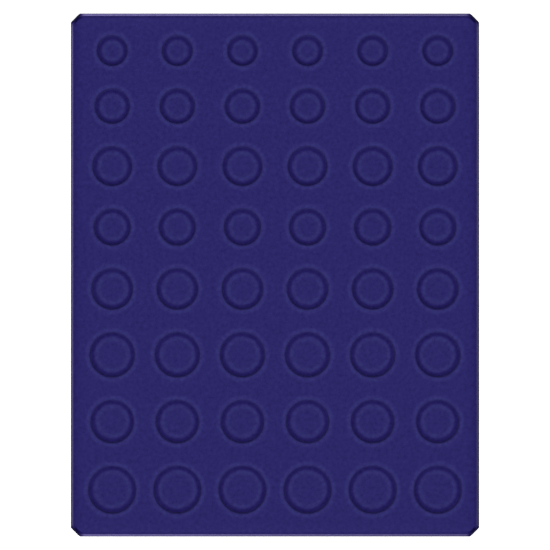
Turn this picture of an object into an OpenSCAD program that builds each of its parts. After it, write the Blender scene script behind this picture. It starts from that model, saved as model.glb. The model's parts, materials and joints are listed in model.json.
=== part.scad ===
// Flocked coin display tray: rows of round pockets, one coin size to a row.
// The origin is the centre of the underside, +Z is up and +Y points to the row of smallest coins.

/* [Tray] */
// Width of the tray, across the rows
tray_w = 226; // [180:1:300]
// Length of the tray, along the columns
tray_l = 289.5; // [235:0.5:380]
// How far along each side a corner is clipped off
corner_clip = 4.8; // [2:0.1:6]
// Depth of every pocket, and height of the face above the lip
pocket_depth = 3.4; // [2.6:0.1:5]

/* [Coins] */
// Diameter of the coin in the first row
coin_1_d = 16.25; // [12:0.05:21]
// Diameter of the coin in the second row
coin_2_d = 18.75; // [14:0.05:24]
// Diameter of the coin in the third row
coin_3_d = 21.25; // [16:0.05:26]
// Diameter of the coin in the fourth row
coin_4_d = 19.75; // [15:0.05:25]
// Diameter of the coin in the fifth row
coin_5_d = 22.25; // [17:0.05:28]
// Diameter of the coin in the sixth row
coin_6_d = 24.25; // [19:0.05:30]
// Diameter of the coin in the seventh row
coin_7_d = 23.25; // [18:0.05:29]
// Diameter of the coin in the eighth row
coin_8_d = 25.75; // [20:0.05:32]
// How much wider a pocket is than its coin
coin_clearance = 0.5; // [0.2:0.05:0.8]

/* [Layout] */
// Pockets in each row
columns = 6; // [2:1:6]
// Tray edge to the centre of the first and last columns
side_margin = 23; // [20:0.5:30]
// Tray edge to the rim of the first row of pockets
top_margin = 12.25; // [8:0.25:16]
// Tray edge to the rim of the last row of pockets
bottom_margin = 13; // [8:0.25:16]

/* [Formed surface] */
// Rounding where a pocket's wall meets the face
shoulder_r = 1.1; // [0.9:0.05:1.3]
// Rounding where a pocket's wall meets its floor
foot_r = 0.8; // [0.3:0.05:1]
// Width of the flat lip along the sides, at the foot of the skirt
lip_w = 1.1; // [0.6:0.1:2]
// Width that the knife leaves of the lip at the corners
corner_lip_w = 0.35; // [0.2:0.05:0.6]
// Lean of the skirt, in degrees from upright
skirt_draft = 8; // [2:1:15]
// Rounding where the skirt meets the face
edge_r = 1.6; // [1.5:0.1:2.4]
// Plan radius of the face's corners
face_corner_r = 4.6; // [2:0.1:6]
// Lean of the film's pocket walls, in degrees from upright
film_draft = 2; // [1:0.5:4]

/* [Layers] */
// Length of the flock fibres, the thickness of the velour
pile_t = 0.6; // [0.4:0.05:0.8]
// Thickness of the flock adhesive
adhesive_t = 0.1; // [0.05:0.05:0.2]
// Thickness of the formed plastic film
film_t = 0.7; // [0.5:0.05:0.9]
// Thickness of the tape and of the glue line
bond_t = 0.2; // [0.1:0.05:0.3]
// Thickness of the base board
board_t = 2; // [1:0.25:3]
// Thickness of the felt underlay
underlay_t = 1; // [0.6:0.1:2]

/* [Bonding] */
// Width of each strip of double-sided tape
tape_w = 10; // [6:0.5:12]
// How far a strip of tape runs past the centre of the outer cups
tape_over = 6; // [3:0.5:8]
// How far the glue line stays back from the trimmed edge
glue_setback = 0.3; // [0.1:0.1:0.5]
// Width of the glue line under the lip
glue_w = 1.8; // [1:0.1:2]
// How far the felt stays back from the board's edge
underlay_setback = 1.5; // [0.5:0.5:5]

/* [Hidden] */
$fn = 64;

coin_d = [coin_1_d, coin_2_d, coin_3_d, coin_4_d, coin_5_d, coin_6_d, coin_7_d, coin_8_d];
rows = len(coin_d);
pocket_d = [for (d = coin_d) d + coin_clearance];
pockets_length = [for (d = pocket_d) 1] * pocket_d;
row_gap = (tray_l - top_margin - bottom_margin - pockets_length) / (rows - 1);
column_pitch = (tray_w - 2 * side_margin) / (columns - 1);

// Heights of the layers' top faces
board_z = underlay_t + board_t;
bond_z = board_z + bond_t;
stack_t = film_t + adhesive_t + pile_t;
lip_z = bond_z + stack_t;
face_z = lip_z + pocket_depth;

// Depths below the velour's surface
adhesive_at = pile_t;
film_at = pile_t + adhesive_t;
hollow_at = stack_t;

// How far a cutter runs past what it cuts
past = 1;
// Steps around each corner of the raised block, and the angle between those of its rounded edge
corner_steps = 8;
edge_step = 30;
// Least rounding or clip of a corner drawn in from the surface's
least_r = 0.1;
// Plan radius of the skirt's corners at the lip, which leaves that much lip inside the clip
skirt_corner_r = max((corner_clip / sqrt(2) + corner_lip_w - lip_w * sqrt(2)) / (sqrt(2) - 1), least_r);

// The summed diameters of the rows before this one
function lengths_before(row) = row == 0 ? 0 : pocket_d[row - 1] + lengths_before(row - 1);
function row_y(row) =
    tray_l / 2 - top_margin - lengths_before(row) - row * row_gap - pocket_d[row] / 2;
function column_x(column) = (column - (columns - 1) / 2) * column_pitch;

// A plate of the tray's plan, drawn in evenly from its edge, with its corners clipped
module slab(from_z, to_z, inset) {
    w = tray_w / 2 - inset;
    l = tray_l / 2 - inset;
    clip = max(corner_clip - inset * (2 - sqrt(2)), least_r);
    translate([0, 0, from_z]) linear_extrude(to_z - from_z) polygon([
        [w - clip, -l], [w, clip - l], [w, l - clip], [w - clip, l],
        [clip - w, l], [-w, l - clip], [-w, clip - l], [clip - w, -l]
    ]);
}

// The rounded rectangle at height z as a loop of points, the same number whatever its size
function loop_at(z, inset, r) = [
    for (corner = [0 : 3], step = [0 : corner_steps])
        let (
            x = (corner == 0 || corner == 3 ? 1 : -1) * (tray_w / 2 - inset - r),
            y = (corner < 2 ? 1 : -1) * (tray_l / 2 - inset - r),
            a = 90 * (corner + step / corner_steps)
        )
        [x + r * cos(a), y + r * sin(a), z]
];

// A closed body through a stack of such loops, lowest first
module skinned(loops) {
    n = len(loops[0]);
    top = n * (len(loops) - 1);
    polyhedron(
        points = [for (loop = loops) each loop],
        faces = concat(
            [[for (i = [0 : n - 1]) i], [for (i = [n - 1 : -1 : 0]) top + i]],
            [
                for (level = [0 : n : top - n], i = [0 : n - 1])
                    [level + i, level + n + i, level + (i + 1) % n]
            ],
            [
                for (level = [0 : n : top - n], i = [0 : n - 1])
                    [level + (i + 1) % n, level + n + i, level + n + (i + 1) % n]
            ]
        )
    );
}

// The raised block inside the lip, with its surface taken down by depth
module raised_block(depth, from_z) {
    foot = lip_w + depth;
    round_r = edge_r - depth;
    top = face_z - depth;
    run = (pocket_depth - edge_r) * tan(skirt_draft);
    foot_corner = max(skirt_corner_r - depth, least_r);
    face_corner = max(face_corner_r - depth, least_r);
    skinned(concat(
        [loop_at(from_z, foot, foot_corner), loop_at(lip_z - depth, foot, foot_corner)],
        [
            for (a = [0 : edge_step : 90])
                loop_at(
                    top - round_r * (1 - sin(a)), foot + run + round_r * (1 - cos(a)), face_corner
                )
        ]
    ));
}

// Half the outline of a coin pocket in the velour: floor, rounded foot, true wall and rounded shoulder
module velour_pocket_profile(r) {
    top = face_z + past;
    translate([0, lip_z + foot_r]) square([r, top - lip_z - foot_r]);
    translate([0, lip_z]) square([r - foot_r, foot_r]);
    translate([r - foot_r, lip_z + foot_r]) circle(foot_r);
    difference() {
        translate([r, face_z - shoulder_r]) square([shoulder_r, shoulder_r + past]);
        translate([r + shoulder_r, face_z - shoulder_r]) circle(shoulder_r);
    }
}

// Half the outline of the same pocket in a lower layer, which leans out so that it leaves the mould
module drafted_pocket_profile(r, depth) {
    floor_z = lip_z - depth;
    top = face_z - depth;
    shoulder = max(shoulder_r - depth, least_r);
    wall_r = r + depth + (top - floor_z) * tan(film_draft);
    polygon([
        [0, floor_z],
        [r + depth - foot_r / 2, floor_z],
        [r + depth, floor_z + foot_r / 2],
        [wall_r, top - shoulder],
        [wall_r + shoulder, top],
        [wall_r + shoulder, top + past],
        [0, top + past]
    ]);
}

module pockets(depth) {
    for (row = [0 : rows - 1], column = [0 : columns - 1])
        translate([column_x(column), row_y(row), 0])
            rotate_extrude() intersection() {
                if (depth == 0) velour_pocket_profile(pocket_d[row] / 2);
                else drafted_pocket_profile(pocket_d[row] / 2, depth);
                square([pocket_d[row], face_z + past]);
            }
}

// All that lies under the tray's surface once that surface is taken down by depth
module under_surface(depth, from_z) {
    if (lip_z - depth > bond_z) slab(from_z, lip_z - depth, 0);
    difference() {
        raised_block(depth, from_z);
        pockets(depth);
    }
}

// One layer of the formed sheet, between two depths below the velour's surface
module formed_layer(top_depth, bottom_depth) {
    difference() {
        under_surface(top_depth, bond_z);
        under_surface(bottom_depth, bond_z - past);
    }
}

// Needled felt that the tray slides on
module felt_underlay() {
    color("#1d1a3c") slab(0, underlay_t, underlay_setback);
}

// Dyed board that closes the back and keeps the tray flat
module base_board() {
    color("#22203a") slab(underlay_t, board_z, 0);
}

// Double-sided tape between the board and each row of cups
module row_tape_strips() {
    tape_l = 2 * column_x(columns - 1) + 2 * tape_over;
    color("#cfc8b4")
        for (row = [0 : rows - 1])
            translate([-tape_l / 2, row_y(row) - tape_w / 2, board_z])
                cube([tape_l, tape_w, bond_t]);
}

// Glue between the board and the lip, all the way round
module rim_glue_line() {
    color("#d9d2b0") difference() {
        slab(board_z, bond_z, glue_setback);
        slab(board_z - past, bond_z + past, glue_setback + glue_w);
    }
}

// Vacuum-formed film with a cup for each coin
module carrier_shell() {
    color("#2a2658") formed_layer(film_at, hollow_at);
}

// Adhesive coat that the flock stands in
module flock_adhesive() {
    color("#241f5a") formed_layer(adhesive_at, film_at);
}

// Flocked nylon pile, the surface that shows
module velour_pile() {
    color("#2d2868") formed_layer(0, adhesive_at);
}

felt_underlay();
base_board();
row_tape_strips();
rim_glue_line();
carrier_shell();
flock_adhesive();
velour_pile();
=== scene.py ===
import json
import math

import bmesh
import bpy
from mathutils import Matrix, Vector, noise


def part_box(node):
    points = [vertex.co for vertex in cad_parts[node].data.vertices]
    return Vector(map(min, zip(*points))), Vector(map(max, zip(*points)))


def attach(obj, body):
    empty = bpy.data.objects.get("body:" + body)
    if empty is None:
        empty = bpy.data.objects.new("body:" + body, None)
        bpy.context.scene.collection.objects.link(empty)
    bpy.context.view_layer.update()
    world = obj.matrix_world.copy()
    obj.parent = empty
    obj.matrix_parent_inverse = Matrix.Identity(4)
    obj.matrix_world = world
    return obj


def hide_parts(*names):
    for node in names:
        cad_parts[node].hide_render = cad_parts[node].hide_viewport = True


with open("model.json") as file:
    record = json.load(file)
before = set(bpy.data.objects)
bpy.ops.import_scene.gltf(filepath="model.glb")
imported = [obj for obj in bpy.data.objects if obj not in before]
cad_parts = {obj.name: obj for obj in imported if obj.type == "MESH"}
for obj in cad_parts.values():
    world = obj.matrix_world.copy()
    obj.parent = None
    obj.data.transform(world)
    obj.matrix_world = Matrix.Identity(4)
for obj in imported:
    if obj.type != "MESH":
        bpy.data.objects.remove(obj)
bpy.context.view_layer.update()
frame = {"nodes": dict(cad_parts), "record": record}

# ---- Formed film ---------------------------------------------------------------------------
# Dark blue polystyrene sheet, vacuum-formed over a mould with a cup for each coin, then cut
# out with a flat lip. Only the cut edge of the film shows, below the flock.


def node_in(tree, kind, inputs=(), **settings):
    """A node with its settings, its inputs set to values or joined to other nodes' outputs."""
    node = tree.nodes.new(kind)
    for name, value in settings.items():
        setattr(node, name, value)
    for name, value in dict(inputs).items():
        if isinstance(value, bpy.types.NodeSocket):
            tree.links.new(value, node.inputs[name])
        else:
            node.inputs[name].default_value = value
    return node


def sum_of(tree, operation, *values):
    """The outcome of one step of arithmetic on numbers or sockets."""
    return node_in(tree, "ShaderNodeMath", enumerate(values), operation=operation).outputs[0]


def plain_finish(name, colour, roughness):
    """A material of one colour and roughness to build on: itself, its tree, shader and coordinates."""
    material = bpy.data.materials.new(name)
    material.use_nodes = True
    tree = material.node_tree
    shader = tree.nodes["Principled BSDF"]
    shader.inputs["Base Color"].default_value = (*colour, 1)
    shader.inputs["Roughness"].default_value = roughness
    return material, tree, shader, tree.nodes.new("ShaderNodeTexCoord").outputs["Object"]


def speckle(tree, place, scale, detail=2.0, low=0.0, high=1.0):
    """Even noise of that scale, spread to run from low to high."""
    grain = node_in(tree, "ShaderNodeTexNoise", {"Vector": place, "Scale": scale, "Detail": detail})
    limits = {"From Min": 0.3, "From Max": 0.7, "To Min": low, "To Max": high}
    spread = node_in(tree, "ShaderNodeMapRange", {"Value": grain.outputs["Fac"], **limits})
    return spread.outputs["Result"]


def shades(tree, amount, first, second):
    """A colour between two others, each a socket or three numbers."""
    first_at, second_at, result_at = 6, 7, 2  # the mix node's colour sockets
    first, second = (c if isinstance(c, bpy.types.NodeSocket) else (*c, 1) for c in (first, second))
    sockets = {"Factor": amount, first_at: first, second_at: second}
    return node_in(tree, "ShaderNodeMix", sockets, data_type="RGBA").outputs[result_at]


def tone_curve(tree, value, stops):
    """A factor that follows a value through stops, each a place and the factor there."""
    first, last = stops[0][0], stops[-1][0]
    limits = {"Value": value, "From Min": first, "From Max": last}
    along = node_in(tree, "ShaderNodeMapRange", limits).outputs["Result"]
    curve = node_in(tree, "ShaderNodeFloatCurve", {"Value": along})
    points = curve.mapping.curves[0].points
    highest = max(factor for at, factor in stops)
    for point, (at, factor) in zip(points, (stops[0], stops[-1])):
        point.location = ((at - first) / (last - first), factor / highest)
    for at, factor in stops[1:-1]:
        points.new((at - first) / (last - first), factor / highest)
    curve.mapping.update()
    return sum_of(tree, "MULTIPLY", curve.outputs["Value"], highest)


def dimmed(tree, colour, factor):
    """A colour made brighter or darker by a factor."""
    scaled = node_in(tree, "ShaderNodeVectorMath", {0: colour, "Scale": factor}, operation="SCALE")
    return scaled.outputs["Vector"]


def toned(tree, colour, factor):
    """A colour made brighter or darker, by less in the blue than in the green."""
    powers = {axis: sum_of(tree, "POWER", factor, power) for axis, power in zip("XYZ", tone_powers)}
    scale = node_in(tree, "ShaderNodeCombineXYZ", powers).outputs["Vector"]
    scaled = node_in(tree, "ShaderNodeVectorMath", {0: colour, 1: scale}, operation="MULTIPLY")
    return scaled.outputs["Vector"]


def raise_grain(tree, shader, height, distance, strength=1.0):
    """Bumps the surface by a pattern of heights."""
    levels = {"Height": height, "Distance": distance, "Strength": strength}
    bump = node_in(tree, "ShaderNodeBump", levels)
    tree.links.new(bump.outputs["Normal"], shader.inputs["Normal"])


def dress(name, material):
    """Gives a CAD piece its finish."""
    finishes = frame["nodes"][name].data.materials
    finishes.clear()
    finishes.append(material)


film, tree, shader, place = plain_finish("formed_film", (0.030, 0.024, 0.105), 0.42)
along_cut = node_in(tree, "ShaderNodeMapping", {"Vector": place, "Scale": (1, 1, 14)})
knife_marks = speckle(tree, along_cut.outputs["Vector"], 900, 3)
film_colour = shades(tree, knife_marks, (0.026, 0.020, 0.092), (0.040, 0.034, 0.130))
tree.links.new(film_colour, shader.inputs["Base Color"])
raise_grain(tree, shader, knife_marks, 0.00003)
dress("carrier_shell", film)

# ---- Flock adhesive ------------------------------------------------------------------------
# A thin coat of adhesive, spread on the film before it is flocked. The fibres stand in it, so
# it shows only as a dull line between film and flock at the cut edge.

adhesive, tree, shader, place = plain_finish("flock_adhesive", (0.022, 0.017, 0.080), 0.75)
coat = speckle(tree, place, 2200)
adhesive_colour = shades(tree, coat, (0.018, 0.014, 0.066), (0.030, 0.024, 0.105))
tree.links.new(adhesive_colour, shader.inputs["Base Color"])
raise_grain(tree, shader, coat, 0.00002)
dress("flock_adhesive", adhesive)

# ---- Velour --------------------------------------------------------------------------------
# Royal blue nylon flock, shot upright into the adhesive. It follows the film over the face,
# down into each coin pocket and out over the lip, where the knife has pressed it pale and flat.

pile = 0.0006  # length of the fibres
lip_w = 0.0011  # width of the lip
skirt_lean = math.radians(8)  # lean of the skirt from upright
edge_r = 0.0016  # rounding from skirt to face
face_strip_w = 0.4 * edge_r  # strip of flat face inside that rounding
corner_clip = 0.0048  # how far along each side a corner is clipped off
corner_lip_w = 0.00035  # what the clip leaves of the lip
slant, bulge = math.sqrt(2), math.sqrt(2) - 1  # how far off a square and a round corner lie
skirt_corner_r = (corner_clip / slant + corner_lip_w - lip_w * slant) / bulge
face_corner_r = 0.0046  # plan radius of the face's corners
skirt_foot_r = 0.0004  # rounding from skirt to lip
corner_foot_w = 0.0001  # how far that rounding reaches at the corners
nap_edge_r = 0.00015  # rounding of the pile at the cut
nap_overhang = 0.00005  # how far it splays past the cut
nap_unevenness = 0.00003  # how much the pile's height varies
long_waves, short_waves, sunk = 180, 620, 0.8  # how closely it does so, and how far it sinks
level_rise = 0.2  # rise of the surface's normal over which it does
pressed_h = 0.0006  # how far up from the lip the pile is pressed
corner_reach = 0.0068  # how far from the tray's corners the painted shade there reaches, and the pressed pile fades
cell_cuts = 16  # divisions of each side of a pocket's cell
corner_cuts = 8  # divisions of each of the tray's corners
edge_cuts, foot_cuts, nap_cuts = 7, 4, 3  # and of the roundings of face, skirt's foot and cut pile
closing_power = 1.7  # how soon the rings round a pocket turn from oblong to round
weld = 0.000002  # points nearer than this are one
nap_dark, nap_light, nap_tips = (0.0142, 0.0101, 0.088), (0.0216, 0.0181, 0.119), (0.0285, 0.0236, 0.154)
near_end_painted_shade, far_end_painted_shade = 0.925, 1.0  # painted shade that dims the pile evenly toward the -Y end
lip_colour = (0.055, 0.048, 0.112)  # the pressed pile along the left side
right_bite, far_lip_painted_light, end_lip_painted_light = 0.64, 1.65, 2.2  # its paleness at the right, and painted light that brightens it toward +Y and on the ends
corner_shade_depth = 0.88  # how much the painted shade at the corners darkens the pile
# painted shade and sheen round each pocket: distance out from its wall, and how bright the pile there is
# painted; a ring of painted shade in the foot, and painted sheen on the shoulder and on the floor round
# the foot
pocket_painted_shade_and_sheen = (
    (-0.0080, 1.05), (-0.0055, 1.08), (-0.0035, 1.33), (-0.0012, 0.66), (0.0001, 1.15),
    (0.0015, 1.29), (0.0032, 1.02), (0.0050, 1.0),
)
tone_powers = (1.0, 1.37, 0.58)  # how far the red, green and blue follow that brightness
# painted shade the same way in from the tray's sides and ends, darkest by the skirt's foot; on the ends a
# little painted light further in
side_painted_shade = ((0.0, 1.0), (0.0012, 0.9), (0.0020, 0.74), (0.0034, 0.86), (0.0080, 1.0))
end_painted_shade_and_light = ((0.0, 1.0), (0.0012, 0.9), (0.0020, 0.78), (0.0032, 1.08), (0.0045, 1.06), (0.0080, 1.0))
lip_painted_light_curve = ((0.0, 0.5), (0.0006, 1.1), (0.0012, 2.2))  # and on the lip: darker at the cut, then painted light brightest by the skirt, where the skirt shades it
# rings of faces in each stage of a pocket, from its cell's edge in
shown_rings = {"face": 5, "shoulder": 6, "wall": 1, "foot": 5, "floor": 4}
hidden_rings = {"face": 1, "shoulder": 1, "wall": 1, "foot": 1, "floor": 1}

velour_low, velour_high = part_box("velour_pile")
face_z, lip_z = velour_high[2], velour_low[2] + pile
half_w, half_l = velour_high[0], velour_high[1]
pockets = [m for m in frame["record"]["mounts"] if m["kind"] == "bore"]
wall_h = pockets[0]["dims"]["length_mm"] / 1000
wall_z = pockets[0]["pos_m"][2]
shoulder_r = face_z - wall_z - wall_h / 2
foot_r = wall_z - wall_h / 2 - lip_z
column_x = sorted({m["pos_m"][0] for m in pockets})
row_r = {m["pos_m"][1]: m["dims"]["r_mm"] / 1000 for m in pockets}
row_y = sorted(row_r)
cell_w = column_x[1] - column_x[0]
row_gap = row_y[1] - row_y[0] - row_r[row_y[0]] - row_r[row_y[1]]


def started_tree(name, sizes):
    """A new Geometry Nodes tree with named inputs, and its input and output nodes."""
    tree = bpy.data.node_groups.new(name, "GeometryNodeTree")
    sockets = [("Geometry", "Geometry"), *((s, "Float") for s in sizes), ("Material", "Material")]
    for label, kind in sockets:
        tree.interface.new_socket(label, in_out="INPUT", socket_type="NodeSocket" + kind)
    tree.interface.new_socket("Geometry", in_out="OUTPUT", socket_type="NodeSocketGeometry")
    return tree, tree.nodes.new("NodeGroupInput").outputs, tree.nodes.new("NodeGroupOutput").inputs


def made_of(base, tree, sizes, material):
    """The plain mesh that a tree makes of a base object, from sizes given by their names."""
    step = base.modifiers.new(tree.name, "NODES")
    step.node_group = tree
    values = {**sizes, "Material": material}
    for socket in tree.interface.items_tree:
        if socket.in_out == "INPUT" and socket.name in values:
            step[socket.identifier] = values[socket.name]
    depsgraph = bpy.context.evaluated_depsgraph_get()
    made = bpy.data.meshes.new_from_object(base.evaluated_get(depsgraph))
    base.modifiers.remove(step)
    return made


def pocket_tree(name, rings):
    """Makes an oblong of velour with a coin pocket in it at each point of the base mesh."""
    sizes = ("Cell Width", "Row Space", "Face Height", "Floor Height", "Shoulder", "Foot", "Depth")
    tree, given, result = started_tree(name, sizes)

    def calc(operation, *values):
        return sum_of(tree, operation, *values)

    def stored(label, kind="FLOAT"):
        found = node_in(tree, "GeometryNodeInputNamedAttribute", {"Name": label}, data_type=kind)
        return found.outputs["Attribute"]

    def with_number(geometry, label, value):
        written = {"Geometry": geometry, "Name": label, "Value": value}
        return node_in(tree, "GeometryNodeStoreNamedAttribute", written).outputs["Geometry"]

    # a flat grid, numbered round the pocket by turn, and from its cell's edge to its centre by ring
    ring_count = sum(rings.values())
    turns = 4
    cuts = {"Vertices X": turns * cell_cuts + 1, "Vertices Y": ring_count + 1}
    grid = node_in(tree, "GeometryNodeMeshGrid", {"Size X": 1.0, "Size Y": 1.0, **cuts})
    position = tree.nodes.new("GeometryNodeInputPosition").outputs["Position"]
    at = node_in(tree, "ShaderNodeSeparateXYZ", {"Vector": position}).outputs
    numbered = grid.outputs["Mesh"]
    for label, axis, span in (("turn", "X", turns), ("ring", "Y", ring_count)):
        numbered = with_number(numbered, label, calc("MULTIPLY", calc("ADD", at[axis], 0.5), span))
    spread = {"Points": given["Geometry"], "Instance": numbered}
    cells = node_in(tree, "GeometryNodeInstanceOnPoints", spread).outputs["Instances"]
    cells = node_in(tree, "GeometryNodeRealizeInstances", {"Geometry": cells}).outputs["Geometry"]
    turn, ring, pocket_r = stored("turn"), stored("ring"), stored("pocket_r")

    # how far each stage of the profile has gone, from 0 to 1
    gone, first = {}, 0.0
    for stage, count in rings.items():
        limits = {"Value": ring, "From Min": first, "From Max": first + count}
        gone[stage] = node_in(tree, "ShaderNodeMapRange", limits).outputs["Result"]
        first += count
    over = calc("MULTIPLY", gone["shoulder"], math.pi / 2)
    under = calc("MULTIPLY", gone["foot"], math.pi / 2)

    # the profile's distance from the pocket's centre, then its height
    wall_r = calc("ADD", pocket_r, given["Depth"])
    flare = calc("MULTIPLY", given["Shoulder"], calc("SUBTRACT", 1.0, calc("SINE", over)))
    tuck = calc("MULTIPLY", given["Foot"], calc("SUBTRACT", 1.0, calc("COSINE", under)))
    reach = calc("SUBTRACT", calc("ADD", wall_r, flare), tuck)
    reach = calc("MULTIPLY", reach, calc("SUBTRACT", 1.0, gone["floor"]))
    wall = given["Face Height"]
    for part in ("Floor Height", "Shoulder", "Foot"):
        wall = calc("SUBTRACT", wall, given[part])
    drops = (
        calc("MULTIPLY", given["Shoulder"], calc("SUBTRACT", 1.0, calc("COSINE", over))),
        calc("MULTIPLY", wall, gone["wall"]),
        calc("MULTIPLY", given["Foot"], calc("SINE", under)),
    )
    height = given["Face Height"]
    for drop in drops:
        height = calc("SUBTRACT", height, drop)

    # from the oblong edge of the cell in to the round shoulder
    half_across = calc("MULTIPLY", given["Cell Width"], 0.5)
    half_along = calc("MULTIPLY_ADD", given["Row Space"], 0.5, pocket_r)
    closing = calc("POWER", calc("SUBTRACT", 1.0, gone["face"]), closing_power)
    angle = calc("MULTIPLY", calc("SUBTRACT", turn, 0.5), math.pi / 2)
    spot = {"Z": height}
    for axis, half, middle, wave in (("X", half_across, 0.5, "COSINE"), ("Y", half_along, 1.5, "SINE")):
        away = calc("ABSOLUTE", calc("WRAP", calc("SUBTRACT", turn, middle), 2.0, -2.0))
        limits = {"Value": away, "From Min": 0.5, "From Max": 1.5, "To Min": 1.0, "To Max": -1.0}
        straight = node_in(tree, "ShaderNodeMapRange", limits).outputs["Result"]
        straight = calc("MULTIPLY", straight, half)
        curved = calc("MULTIPLY", calc(wave, angle), reach)
        spot[axis] = calc("MULTIPLY_ADD", calc("SUBTRACT", straight, curved), closing, curved)
    place = node_in(tree, "ShaderNodeCombineXYZ", spot).outputs["Vector"]
    out = calc("SQRT", calc("ADD", calc("POWER", spot["X"], 2.0), calc("POWER", spot["Y"], 2.0)))
    cells = with_number(cells, "from_rim", calc("SUBTRACT", out, wall_r))
    centre = stored("centre", "FLOAT_VECTOR")
    place = node_in(tree, "ShaderNodeVectorMath", {0: place, 1: centre}, operation="ADD")
    moved = {"Geometry": cells, "Position": place.outputs["Vector"]}
    cells = node_in(tree, "GeometryNodeSetPosition", moved).outputs["Geometry"]
    joined = {"Geometry": cells, "Distance": weld}
    cells = node_in(tree, "GeometryNodeMergeByDistance", joined).outputs["Geometry"]
    cells = node_in(tree, "GeometryNodeRealizeInstances", {"Geometry": cells}).outputs["Geometry"]
    finished = {"Geometry": cells, "Material": given["Material"]}
    finished = node_in(tree, "GeometryNodeSetMaterial", finished).outputs["Geometry"]
    tree.links.new(finished, result["Geometry"])
    return tree


def pocket_points():
    """A mesh with one point for each pocket, which carries its centre and radius."""
    mesh = bpy.data.meshes.new("pocket_points")
    mesh.from_pydata([m["pos_m"] for m in pockets], [], [])
    radius = mesh.attributes.new("pocket_r", "FLOAT", "POINT")
    centre = mesh.attributes.new("centre", "FLOAT_VECTOR", "POINT")
    for m, r, c in zip(pockets, radius.data, centre.data):
        r.value = m["dims"]["r_mm"] / 1000
        c.vector = (*m["pos_m"][:2], 0)
    return mesh


# where the cells' edges are cut, so that the border of the tray is cut there too
cuts_across = len(column_x) * cell_cuts
border_x = [column_x[0] - cell_w / 2 + i * cell_w / cell_cuts for i in range(cuts_across + 1)]
border_y = [row_y[0] - row_r[row_y[0]] - row_gap / 2]
for y in row_y:
    cell_l = 2 * row_r[y] + row_gap
    border_y += [y + cell_l * (i / cell_cuts - 0.5) for i in range(1, cell_cuts + 1)]


def side_at(along, across_half, along_half, corner, clip):
    """How far out a side lies at a place along it, with its ends rounded or clipped."""
    if clip:
        return across_half - max(0.0, abs(along) - along_half + clip)
    past = max(0.0, abs(along) - along_half + corner)
    return across_half - corner + math.sqrt(max(0.0, corner**2 - past**2))


def corner_at(turn, w, l, corner, clip):
    """Where a line from the outer cells' corner, at that turn from the side, meets the outline."""
    start = Vector((max(border_x), max(border_y)))
    along = Vector((math.cos(turn), math.sin(turn)))
    reach = min((w - start.x) / max(along.x, weld), (l - start.y) / max(along.y, weld))
    if clip:
        return start + along * min(reach, (w + l - clip - sum(start)) / sum(along))
    away = start - Vector((w - corner, l - corner))
    ahead = away.dot(along)
    arc = start + along * (math.sqrt(ahead**2 - away.length_squared + corner**2) - ahead)
    on_arc = arc.x > w - corner and arc.y > l - corner
    return arc if on_arc else start + along * reach


def arc_steps(count):
    """Angles from 0 to a right angle in that many steps."""
    return [math.pi / 2 * i / count for i in range(count + 1)]


def border_run(inset, corner, z, clip=0.0):
    """A closed run of points round the tray, that far in from its edge, cut as the cells are."""
    w, l = half_w - inset, half_l - inset
    quarter = [corner_at(turn, w, l, corner, clip) for turn in arc_steps(corner_cuts)]
    run = []
    for turn_x, turn_y in ((1, -1), (1, 1), (-1, 1), (-1, -1)):
        ordered = quarter if turn_x * turn_y > 0 else reversed(quarter)
        run += [(turn_x * point.x, turn_y * point.y, z) for point in ordered]
        if turn_x * turn_y < 0:
            ys = sorted(border_y, reverse=turn_x < 0)
            run += [(turn_x * side_at(y, w, l, corner, clip), y, z) for y in ys]
        else:
            xs = sorted(border_x, reverse=turn_y > 0)
            run += [(x, turn_y * side_at(x, l, w, corner, clip), z) for x in xs]
    return run


def cell_run(z):
    """The same run on the edge of the cells themselves, where each corner is a single point."""
    right, left = max(border_x), min(border_x)
    top, bottom = max(border_y), min(border_y)
    run = []
    for x, y in ((right, bottom), (right, top), (left, top), (left, bottom)):
        run += [(x, y, z)] * (corner_cuts + 1)
        if (x > 0) != (y > 0):
            run += [(x, along, z) for along in sorted(border_y, reverse=x < 0)]
        else:
            run += [(along, y, z) for along in sorted(border_x, reverse=y > 0)]
    return run


def nearness(point):
    """How near a point of the border is to a corner of the tray, from 0 along the sides to 1."""
    from_corner = max(half_w - abs(point[0]), half_l - abs(point[1]))
    return min(1.0, max(0.0, (corner_reach - from_corner) / (corner_reach - corner_clip)))


def skirt_runs():
    """The runs of the velour's border: face, rounded edge, skirt, lip, cut edge and hidden back."""
    lean = (face_z - lip_z - edge_r) * math.tan(skirt_lean)
    top_in = lip_w + lean
    runs = [cell_run(face_z), border_run(top_in + edge_r + face_strip_w, face_corner_r, face_z)]
    for a in reversed(arc_steps(edge_cuts)):
        out, up = edge_r * (1 - math.cos(a)), edge_r * (1 - math.sin(a))
        runs.append(border_run(top_in + out, face_corner_r, face_z - up))
    middle_corner = (face_corner_r + skirt_corner_r) / 2
    runs.append(border_run(lip_w + lean / 2, middle_corner, (face_z - edge_r + lip_z) / 2))
    # the foot's corner radius grows outward, which keeps the foot narrow at the corners
    spread = (slant - corner_foot_w / skirt_foot_r) / bulge
    for a in arc_steps(foot_cuts):
        out, up = skirt_foot_r * (1 - math.cos(a)), skirt_foot_r * (1 - math.sin(a))
        runs.append(border_run(lip_w - out, skirt_corner_r + spread * out, lip_z + up))
    for a in arc_steps(nap_cuts):
        inset = nap_edge_r - (nap_edge_r + nap_overhang) * math.sin(a)
        clip = corner_clip - inset * (2 - slant)
        runs.append(border_run(inset, 0.0, lip_z - nap_edge_r * (1 - math.cos(a)), clip))
    back_r = edge_r - pile
    runs.append(border_run(0.0, 0.0, lip_z - pile, corner_clip))
    runs.append(border_run(lip_w + pile, skirt_corner_r - pile, lip_z - pile))
    runs.append(border_run(top_in + pile, face_corner_r - pile, face_z - pile - back_r))
    runs.append(border_run(top_in + pile + back_r, face_corner_r - pile, face_z - pile))
    runs.append(cell_run(face_z - pile))
    return runs


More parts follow.
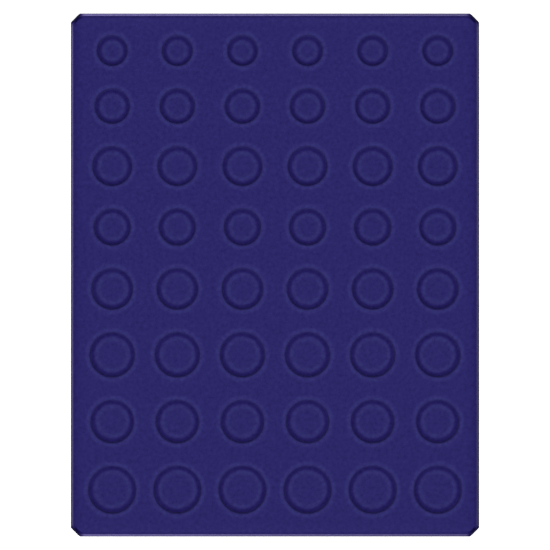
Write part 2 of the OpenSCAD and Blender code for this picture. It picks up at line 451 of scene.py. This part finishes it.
def added(name, mesh):
    """An object in the scene that shows a mesh."""
    piece = bpy.data.objects.new(name, mesh)
    bpy.context.scene.collection.objects.link(piece)
    return piece


def velour_mesh(material):
    """The whole closed layer of velour: pockets, face, skirt and lip, and the back of each."""
    base = added("pocket_points", pocket_points())
    sizes = {"Cell Width": cell_w, "Row Space": row_gap, "Depth": 0.0}
    sizes |= {"Face Height": face_z, "Floor Height": lip_z, "Shoulder": shoulder_r, "Foot": foot_r}
    shown = made_of(base, pocket_tree("coin_pockets", shown_rings), sizes, material)
    sizes |= {"Face Height": face_z - pile, "Floor Height": lip_z - pile, "Depth": pile}
    sizes |= {"Shoulder": shoulder_r - pile, "Foot": foot_r + pile}
    hidden = made_of(base, pocket_tree("pocket_backs", hidden_rings), sizes, material)
    bpy.data.objects.remove(base)

    velour = bmesh.new()
    velour.from_mesh(shown)
    velour.from_mesh(hidden)
    shares = velour.verts.layers.float
    for name in ("pressed", "matted"):
        shares.new(name)
    from_rim, pressed, matted = (shares[name] for name in ("from_rim", "pressed", "matted"))
    runs = []
    for run in skirt_runs():
        runs.append([velour.verts.new(point) for point in run])
        for vertex in runs[-1]:
            at = vertex.co
            vertex[from_rim] = row_gap / 2
            if at.z < lip_z + pressed_h:
                vertex[pressed] = 1.0 - nearness(at)
            # painted shade at the tray's corners, where the edge turns down both ways
            if at.z < face_z - weld:
                vertex[matted] = nearness(at) ** 2
    for inner, outer in zip(runs, runs[1:]):
        for i in range(len(inner)):
            velour.faces.new((inner[i - 1], outer[i - 1], outer[i], inner[i]))
    bmesh.ops.remove_doubles(velour, verts=velour.verts, dist=weld)
    bmesh.ops.dissolve_degenerate(velour, edges=velour.edges, dist=weld / 2)
    bmesh.ops.recalc_face_normals(velour, faces=velour.faces)
    velour.normal_update()
    for vertex in velour.verts:
        if vertex.normal.z > level_rise:
            waves = noise.noise(vertex.co * long_waves) + 0.5 * noise.noise(vertex.co * short_waves)
            vertex.co.z += nap_unevenness * (waves - sunk)
    mesh = bpy.data.meshes.new("velour")
    velour.to_mesh(mesh)
    velour.free()
    for name in ("turn", "ring", "pocket_r", "centre"):
        mesh.attributes.remove(mesh.attributes[name])
    mesh.materials.clear()
    mesh.materials.append(material)
    for face in mesh.polygons:
        face.material_index = 0
        face.use_smooth = True
    mesh.set_sharp_from_angle(angle=math.radians(50))
    return mesh


def fibre_tree(name):
    """Stands a tapered fibre at random places on a mesh, each leaning its own way."""
    sizes = ("Density", "Length", "Width", "Lean", "Least Rise", "Most Rise")
    tree, given, result = started_tree(name, sizes)
    normal = tree.nodes.new("GeometryNodeInputNormal").outputs["Normal"]
    rise = node_in(tree, "ShaderNodeSeparateXYZ", {"Vector": normal}).outputs["Z"]
    outward = sum_of(tree, "GREATER_THAN", rise, given["Least Rise"])
    outward = sum_of(tree, "MULTIPLY", outward, sum_of(tree, "LESS_THAN", rise, given["Most Rise"]))
    spread = {"Mesh": given["Geometry"], "Selection": outward, "Density": given["Density"], "Seed": 7}
    spots = node_in(tree, "GeometryNodeDistributePointsOnFaces", spread).outputs
    half_width = sum_of(tree, "MULTIPLY", given["Width"], 0.5)
    cone = {"Vertices": 3, "Radius Bottom": half_width, "Depth": given["Length"]}
    fibre = node_in(tree, "GeometryNodeMeshCone", cone).outputs["Mesh"]
    low, high = (
        node_in(tree, "ShaderNodeCombineXYZ", {"X": lean, "Y": lean, "Z": turn}).outputs["Vector"]
        for lean, turn in (
            (sum_of(tree, "MULTIPLY", given["Lean"], -1.0), 0.0), (given["Lean"], 2 * math.pi)
        )
    )
    leaning = {"Min": low, "Max": high, "Seed": 11}
    leaning = node_in(tree, "FunctionNodeRandomValue", leaning, data_type="FLOAT_VECTOR")
    leaning = node_in(tree, "FunctionNodeEulerToRotation", {"Euler": leaning.outputs["Value"]})
    turned = {"Rotation": spots["Rotation"], "Rotate By": leaning.outputs["Rotation"]}
    turned = node_in(tree, "FunctionNodeRotateRotation", turned, rotation_space="LOCAL")
    grown = {"Min": (0.8, 0.8, 0.5), "Max": (1.2, 1.2, 1.3), "Seed": 13}
    grown = node_in(tree, "FunctionNodeRandomValue", grown, data_type="FLOAT_VECTOR")
    stood = {"Points": spots["Points"], "Instance": fibre, "Rotation": turned.outputs["Rotation"]}
    stood = {**stood, "Scale": grown.outputs["Value"]}
    stood = node_in(tree, "GeometryNodeInstanceOnPoints", stood).outputs["Instances"]
    stood = node_in(tree, "GeometryNodeRealizeInstances", {"Geometry": stood}).outputs["Geometry"]
    finished = {"Geometry": stood, "Material": given["Material"]}
    finished = node_in(tree, "GeometryNodeSetMaterial", finished).outputs["Geometry"]
    tree.links.new(finished, result["Geometry"])
    return tree


def graded(tree, across, half, first, last):
    """A factor that runs evenly from its first value at one edge of the tray to its last at the other."""
    limits = {"From Min": -half, "From Max": half, "To Min": first, "To Max": last}
    return node_in(tree, "ShaderNodeMapRange", {"Value": across, **limits}).outputs["Result"]


def fastened(piece, node=None):
    """Fixes a piece to the tray and in place of a CAD node if one is named."""
    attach(piece, "root")
    if node:
        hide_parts(node)


nap, tree, shader, place = plain_finish("velour", (0.019, 0.016, 0.100), 0.9)
shares = {
    name: node_in(tree, "ShaderNodeAttribute", attribute_name=name).outputs["Fac"]
    for name in ("from_rim", "pressed", "matted")
}
colour = shades(tree, speckle(tree, place, 480, 4), nap_dark, nap_light)
colour = shades(tree, speckle(tree, place, 1500, 2, 0.0, 0.35), colour, nap_tips)
# painted shade darkens the pile in each pocket's foot; painted sheen lightens its shoulder and the floor
# round the foot
colour = toned(tree, colour, tone_curve(tree, shares["from_rim"], pocket_painted_shade_and_sheen))
across = node_in(tree, "ShaderNodeSeparateXYZ", {"Vector": place}).outputs
to_side = sum_of(tree, "SUBTRACT", half_w, sum_of(tree, "ABSOLUTE", across["X"]))
to_end = sum_of(tree, "SUBTRACT", half_l, sum_of(tree, "ABSOLUTE", across["Y"]))
to_edge = sum_of(tree, "MINIMUM", to_side, to_end)
# painted shade, darker toward the -Y end of the tray
colour = dimmed(tree, colour, graded(tree, across["Y"], half_l, near_end_painted_shade, far_end_painted_shade))
# painted shade along the skirt's foot at the sides and ends
colour = toned(tree, colour, tone_curve(tree, to_side, side_painted_shade))
colour = toned(tree, colour, tone_curve(tree, to_end, end_painted_shade_and_light))
# the lip's paleness across the tray: darker at the right, with painted light toward +Y and on the ends
bite = graded(tree, across["X"], half_w, 1.0, right_bite)
bite = sum_of(tree, "MULTIPLY", bite, graded(tree, across["Y"], half_l, 1.0, far_lip_painted_light))
at_end = sum_of(tree, "LESS_THAN", to_end, to_side)
bite = sum_of(tree, "MULTIPLY", bite, sum_of(tree, "MULTIPLY_ADD", at_end, end_lip_painted_light - 1.0, 1.0))
# the lip's colour, with painted light toward the skirt
pale = dimmed(tree, lip_colour, tone_curve(tree, to_edge, lip_painted_light_curve))
pale = dimmed(tree, pale, bite)
patches = speckle(tree, place, 700, 2, 0.75, 1.0)
colour = shades(tree, sum_of(tree, "MULTIPLY", shares["pressed"], patches), colour, pale)
# painted shade darkens the skirt and lip at the tray's corners
kept = sum_of(tree, "MULTIPLY_ADD", shares["matted"], -corner_shade_depth, 1.0)
colour = toned(tree, colour, kept)
tree.links.new(colour, shader.inputs["Base Color"])
shader.inputs["Sheen Weight"].default_value = 0.04
shader.inputs["Sheen Roughness"].default_value = 0.5
shader.inputs["Sheen Tint"].default_value = (0.45, 0.42, 0.9, 1)
shader.inputs["Specular IOR Level"].default_value = 0.05
raise_grain(tree, shader, speckle(tree, place, 2600, 2), 0.00015, 0.6)

velour = added("velour", velour_mesh(nap))
standing = {"Density": 640000.0, "Length": 0.00042, "Width": 0.00006, "Lean": 0.8}
standing |= {"Least Rise": 0.05, "Most Rise": 2.0}  # on all that faces up
fibres = made_of(velour, fibre_tree("standing_fibres"), standing, nap)
fastened(velour, "velour_pile")
fastened(added("velour_fibres", fibres))


# ---- Row tape strips -----------------------------------------------------------------------
# Double-sided cloth tape, one strip under each row. It is unrolled along the backs of the cups
# and holds their floors down on the board.

tape, tree, shader, place = plain_finish("tape", (0.50, 0.46, 0.36), 0.55)
threads = speckle(tree, place, 1400, 1)
tape_colour = shades(tree, threads, (0.42, 0.38, 0.29), (0.56, 0.52, 0.41))
tree.links.new(tape_colour, shader.inputs["Base Color"])
raise_grain(tree, shader, threads, 0.00003)
dress("row_tape_strips", tape)

# ---- Rim glue line -------------------------------------------------------------------------
# A thin run of hot glue between lip and board, all the way round. It is squeezed flat as the
# tray is pressed shut, and shows at the edge as a fine amber line set back from the cut.

glue, tree, shader, place = plain_finish("glue", (0.55, 0.46, 0.25), 0.3)
cloud = speckle(tree, place, 260, 2)
glue_colour = shades(tree, cloud, (0.48, 0.39, 0.20), (0.62, 0.54, 0.33))
tree.links.new(glue_colour, shader.inputs["Base Color"])
shader.inputs["Transmission Weight"].default_value = 0.15
raise_grain(tree, shader, cloud, 0.00005)
dress("rim_glue_line", glue)

# ---- Base board ----------------------------------------------------------------------------
# Pulpboard dyed dark blue and die-cut to the tray's outline with its clipped corners. The die
# has rounded its edges a little, and the plies show along the cut. It closes the tray's back.

board_edge_r = 0.00018  # rounding that the die leaves
ply_count = 6  # plies in the board's thickness


def slab_mesh(name, low, high, clip, edge, material):
    """A closed slab that fills a box, with clipped corners and softened edges."""
    made = bmesh.new()
    profile = [(edge * (1 - math.sin(a)), low[2] + edge * (1 - math.cos(a))) for a in arc_steps(4)]
    profile += [(edge * (1 - math.cos(a)), high[2] - edge * (1 - math.sin(a))) for a in arc_steps(4)]
    runs = []
    for inset, z in profile:
        w, l, cut = high[0] - inset, high[1] - inset, clip - inset * (2 - slant)
        quarter = [(w, l - cut), (w - cut, l)]
        run = []
        for side_x, side_y in ((1, 1), (-1, 1), (-1, -1), (1, -1)):
            ordered = quarter if side_x * side_y > 0 else reversed(quarter)
            run += [(side_x * x, side_y * y, z) for x, y in ordered]
        runs.append([made.verts.new(point) for point in run])
    for lower, upper in zip(runs, runs[1:]):
        for i in range(len(lower)):
            made.faces.new((lower[i - 1], lower[i], upper[i], upper[i - 1]))
    made.faces.new(list(reversed(runs[0])))
    made.faces.new(runs[-1])
    mesh = bpy.data.meshes.new(name)
    made.to_mesh(mesh)
    made.free()
    mesh.materials.append(material)
    for face in mesh.polygons:
        face.use_smooth = True
    mesh.set_sharp_from_angle(angle=math.radians(30))
    return mesh


board_low, board_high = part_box("base_board")
card, tree, shader, place = plain_finish("dyed_board", (0.016, 0.015, 0.042), 0.85)
ply_scale = ply_count / (board_high[2] - board_low[2])
flat_along = node_in(tree, "ShaderNodeMapping", {"Vector": place, "Scale": (40, 40, ply_scale)})
plies = speckle(tree, flat_along.outputs["Vector"], 1.0, 2)
pulp = speckle(tree, place, 900, 3)
card_colour = shades(tree, plies, (0.012, 0.011, 0.034), (0.024, 0.022, 0.060))
card_colour = shades(tree, sum_of(tree, "MULTIPLY", pulp, 0.4), card_colour, (0.034, 0.032, 0.074))
tree.links.new(card_colour, shader.inputs["Base Color"])
raise_grain(tree, shader, sum_of(tree, "ADD", plies, pulp), 0.00004)
board_shape = slab_mesh("base_board_card", board_low, board_high, corner_clip, board_edge_r, card)
fastened(added("base_board_card", board_shape), "base_board")

# ---- Felt underlay -------------------------------------------------------------------------
# Needled felt, cut a little smaller than the board and stuck under it, so that the tray slides
# in a drawer without scratching. Its cut edge is soft, and fibres stand off it.

felt_edge_r = 0.00042  # rounding of the felt's cut edge
felt_low, felt_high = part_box("felt_underlay")
wool, tree, shader, place = plain_finish("underlay_felt", (0.013, 0.011, 0.045), 1.0)
tufts = speckle(tree, place, 420, 4)
tangle = speckle(tree, place, 2400, 2)
wool_colour = shades(tree, tufts, (0.010, 0.0085, 0.034), (0.018, 0.016, 0.060))
wool_colour = shades(tree, sum_of(tree, "MULTIPLY", tangle, 0.35), wool_colour, (0.034, 0.031, 0.095))
tree.links.new(wool_colour, shader.inputs["Base Color"])
shader.inputs["Sheen Weight"].default_value = 0.1
shader.inputs["Sheen Roughness"].default_value = 0.6
raise_grain(tree, shader, sum_of(tree, "ADD", tufts, tangle), 0.00025, 0.8)
felt_clip = corner_clip - (board_high[0] - felt_high[0]) * (2 - slant)
felt_shape = slab_mesh("felt", felt_low, felt_high, felt_clip, felt_edge_r, wool)
felt = added("felt", felt_shape)
strays = {"Density": 4000000.0, "Length": 0.0007, "Width": 0.00004, "Lean": 0.9}
strays |= {"Least Rise": -0.7, "Most Rise": 0.7}  # on the cut edge only
strays = made_of(felt, fibre_tree("edge_fibres"), strays, wool)
for vertex in strays.vertices:
    vertex.co.z = max(vertex.co.z, felt_low[2])
fastened(felt, "felt_underlay")
felt_fibres = added("felt_fibres", strays)
fastened(felt_fibres)

# ---- Studio --------------------------------------------------------------------------------
# A pale floor that the tray lies on, one soft light above and in front of it, a white room
# round it, and the camera straight over the tray.

floor_reach = 3.0  # from the tray's centre to each edge of the floor
floor_z = -0.00002  # a hair below the felt
floor_mesh = bpy.data.meshes.new("floor")
floor_corners = ((-1, -1), (1, -1), (1, 1), (-1, 1))
floor_corners = [(x * floor_reach, y * floor_reach, floor_z) for x, y in floor_corners]
floor_mesh.from_pydata(floor_corners, [], [(0, 1, 2, 3)])
floor = added("floor", floor_mesh)
pale, tree, shader, place = plain_finish("pale_floor", (0.84, 0.84, 0.84), 0.8)
shader.inputs["Emission Color"].default_value = (1, 1, 1, 1)
shader.inputs["Emission Strength"].default_value = 0.6
floor_mesh.materials.append(pale)

world = bpy.data.worlds.new("studio")
bpy.context.scene.world = world
world.use_nodes = True
world.node_tree.nodes["Background"].inputs["Color"].default_value = (1, 1, 1, 1)
world.node_tree.nodes["Background"].inputs["Strength"].default_value = 0.6

box_light = bpy.data.lights.new("softbox", "AREA")
box_light.shape = "RECTANGLE"
box_light.size, box_light.size_y = 1.3, 1.0
box_light.energy = 22
softbox = bpy.data.objects.new("softbox", box_light)
softbox.location = (-0.05, -0.38, 1.6)
softbox.rotation_euler = (Vector((0, 0, 0)) - softbox.location).to_track_quat("-Z", "Y").to_euler()
bpy.context.scene.collection.objects.link(softbox)

lens = bpy.data.cameras.new("camera")
lens.lens, lens.sensor_width = 200, 36
camera = bpy.data.objects.new("camera", lens)
seen_width = 0.3045  # how much it sees across, at the height of the lip
off_centre = 0.00004  # how far toward +Y of the tray's centre it stands
camera.location = (0, off_centre, lip_z + seen_width * lens.lens / lens.sensor_width)
bpy.context.scene.collection.objects.link(camera)
bpy.context.scene.camera = camera
bpy.context.scene.view_settings.view_transform = "Standard"
